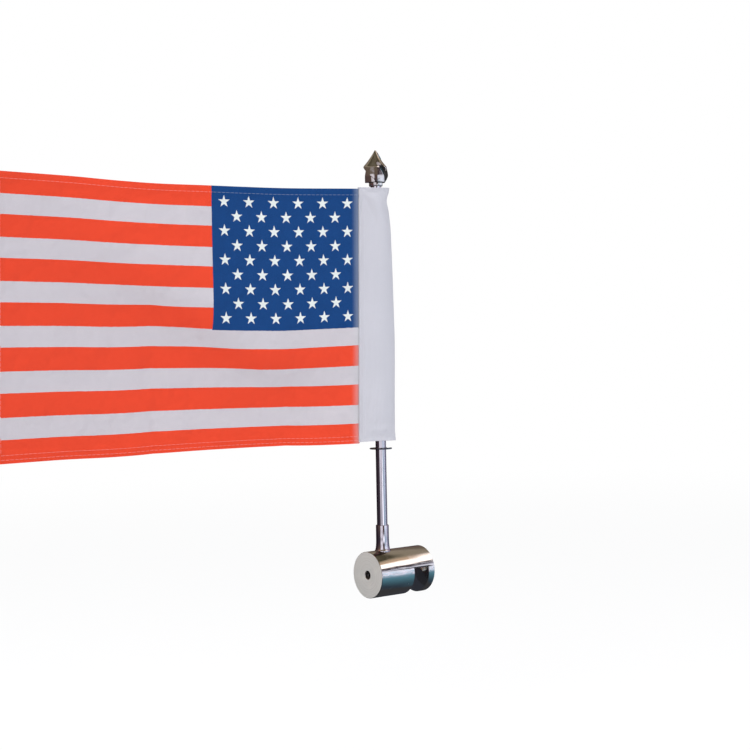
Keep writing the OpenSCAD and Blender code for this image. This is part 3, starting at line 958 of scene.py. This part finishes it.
# The world: white to the camera, even light to the cloth, and coloured bands to the metal. Directions
# are measured sideways and towards the front from the middle of the view, and by height.
world = bpy.data.worlds.new("studio")
bpy.context.scene.world = world
world.use_nodes = True
tree = world.node_tree
ways = put(tree, "ShaderNodeTexCoord").outputs["Generated"]
height = put(tree, "ShaderNodeSeparateXYZ", {"Vector": ways}).outputs["Z"]
drift = put(tree, "ShaderNodeTexNoise", {"Vector": ways, "Scale": 2.4, "Detail": 3.0})
patches = put(tree, "ShaderNodeTexNoise", {"Vector": ways, "Scale": 9.0, "Detail": 3.0})
level = calc(tree, "MULTIPLY_ADD", height, 0.5, 0.5)
level = calc(tree, "MULTIPLY_ADD", calc(tree, "SUBTRACT", drift.outputs["Fac"], 0.5), 0.07, level)


def colour_bands(stops):
    """What the metal sees from the ground to overhead, as shares of the way up and their colours."""
    bands = put(tree, "ShaderNodeValToRGB", {"Fac": level})
    while len(bands.color_ramp.elements) < len(stops):
        bands.color_ramp.elements.new(0.5)
    for element, (at, color) in zip(bands.color_ramp.elements, stops):
        element.position = at
        element.color = (*color, 1)
    return bands.outputs["Color"]


# Bands seen to the right of the view, then all the others
beside = colour_bands(
    [
        (0.0, (0.09, 0.1, 0.11)),
        (0.13, (0.04, 0.06, 0.085)),
        (0.25, (0.08, 0.19, 0.25)),
        (0.36, (0.13, 0.32, 0.42)),
        (0.43, (0.3, 0.45, 0.6)),
        (0.5, (0.5, 0.6, 0.76)),
        (0.545, (1.0, 1.08, 1.3)),
        (0.63, (1.0, 1.02, 1.2)),
        (0.66, (0.1, 0.08, 0.12)),
        (0.72, (0.08, 0.05, 0.045)),
        (0.745, (2.5, 2.3, 2.2)),
        (0.82, (2.5, 2.2, 2.05)),
        (0.85, (0.72, 0.49, 0.32)),
        (1.0, (1.4, 1.1, 0.8)),
    ]
)
around = colour_bands(
    [
        (0.0, (0.06, 0.06, 0.06)),
        (0.36, (0.04, 0.045, 0.06)),
        (0.46, (0.055, 0.04, 0.055)),
        (0.6, (0.15, 0.1, 0.085)),
        (0.74, (0.2, 0.16, 0.12)),
        (0.8, (0.36, 0.3, 0.23)),
        (0.88, (0.36, 0.3, 0.22)),
        (0.92, (0.08, 0.07, 0.04)),
        (1.0, (0.2, 0.17, 0.12)),
    ]
)


def toward(way):
    """How much what the metal sees lies in a direction."""
    return put(tree, "ShaderNodeVectorMath", {0: ways, 1: way}, operation="DOT_PRODUCT").outputs["Value"]


sideways = toward(tuple(cam_right))
frontal = toward(tuple(back))
seen_in_metal = tint(tree, ramp(tree, sideways, 0.5, 0.68), around, beside)
# Bright patches and small glints low on the right, a window in front, and a lamp's streak
spots = ramp(tree, patches.outputs["Fac"], 0.52, 0.62)
spots = calc(tree, "MULTIPLY", spots, ramp(tree, height, -0.25, -0.1))
spots = calc(tree, "MULTIPLY", spots, ramp(tree, sideways, 0.8, 0.9))
spots = calc(tree, "MULTIPLY", spots, ramp(tree, height, 0.62, 0.72, 1.0, 0.0))
seen_in_metal = tint(tree, calc(tree, "MULTIPLY", spots, 0.8), seen_in_metal, (1.1, 1.1, 1.2))
specks = put(tree, "ShaderNodeTexNoise", {"Vector": ways, "Scale": 48.0, "Detail": 2.0})
glints = ramp(tree, specks.outputs["Fac"], 0.47, 0.6)
glints = calc(tree, "MULTIPLY", glints, ramp(tree, sideways, 0.85, 0.93))
glints = calc(tree, "MULTIPLY", glints, ramp(tree, height, -0.2, -0.08))
glints = calc(tree, "MULTIPLY", glints, ramp(tree, height, 0.1, 0.2, 1.0, 0.0))
glint_color = tint(tree, ramp(tree, patches.outputs["Fac"], 0.4, 0.6), (0.95, 1.5, 1.8), (1.8, 1.7, 2.1))
seen_in_metal = tint(tree, glints, seen_in_metal, glint_color)
mottled = ramp(tree, patches.outputs["Fac"], 0.35, 0.6, 0.45, 1.0)
window = calc(tree, "MULTIPLY", ramp(tree, sideways, -0.6, -0.5), ramp(tree, sideways, -0.02, 0.2, 1.0, 0.0))
window = calc(tree, "MULTIPLY", window, ramp(tree, frontal, 0.1, 0.3))
window = calc(tree, "MULTIPLY", window, ramp(tree, height, -0.22, -0.04))
window = calc(tree, "MULTIPLY", window, ramp(tree, height, 0.3, 0.45, 1.0, 0.0))
seen_in_metal = tint(tree, calc(tree, "MULTIPLY", window, mottled), seen_in_metal, (1.25, 1.2, 1.35))
lamp_way = (cam_right * 0.42 + back * 0.9).normalized()
lamp_near = toward((lamp_way.x, lamp_way.y, 0))
streak = calc(tree, "MULTIPLY", ramp(tree, lamp_near, 0.955, 0.985), ramp(tree, height, 0.0, -0.12))
seen_in_metal = tint(tree, streak, seen_in_metal, (1.6, 1.6, 1.8))
path = put(tree, "ShaderNodeLightPath")
ambient = tint(tree, path.outputs["Is Glossy Ray"], (0.62, 0.63, 0.66), seen_in_metal)
final = tint(tree, path.outputs["Is Camera Ray"], ambient, (1, 1, 1))
background = tree.nodes["Background"]
tree.links.new(final, background.inputs["Color"])


def softbox(name, way, distance, width, height, power, color):
    """A rectangular light that faces the flag from a direction given as right, up and back shares."""
    light = bpy.data.lights.new(name, "AREA")
    light.shape = "RECTANGLE"
    light.size = width
    light.size_y = height
    light.energy = power
    light.color = color
    lamp = bpy.data.objects.new(name, light)
    bpy.context.scene.collection.objects.link(lamp)
    aim = (cam_right * way[0] + Vector((0, 0, 1)) * way[1] + back * way[2]).normalized()
    lamp.location = Vector((-0.09, 0, 0.14)) + aim * distance
    lamp.rotation_euler = aim.to_track_quat("Z", "Y").to_euler()
    lamp.visible_glossy = False


softbox("key", (-0.55, 0.55, 0.8), 1.6, 0.9, 1.1, 15, (1, 0.985, 0.965))
softbox("fill", (1.0, 0.15, 0.45), 1.5, 0.5, 1.2, 11, (0.95, 0.97, 1))
softbox("top", (0.0, 1.0, 0.15), 1.4, 1.2, 0.5, 9, (1, 0.99, 0.97))

camera = bpy.data.objects.new("camera", bpy.data.cameras.new("camera"))
bpy.context.scene.collection.objects.link(camera)
camera.data.lens = 72
camera.data.sensor_width = 36
eye = Vector((pole_x, 0, 0.13)) - cam_right * 0.00246 - cam_up * 0.0101 + back * 0.905
camera.matrix_world = Matrix.Translation(eye) @ Matrix((cam_right, cam_up, back)).transposed().to_4x4()
bpy.context.scene.camera = camera
bpy.context.scene.view_settings.view_transform = "Standard"

bpy.context.view_layer.update()
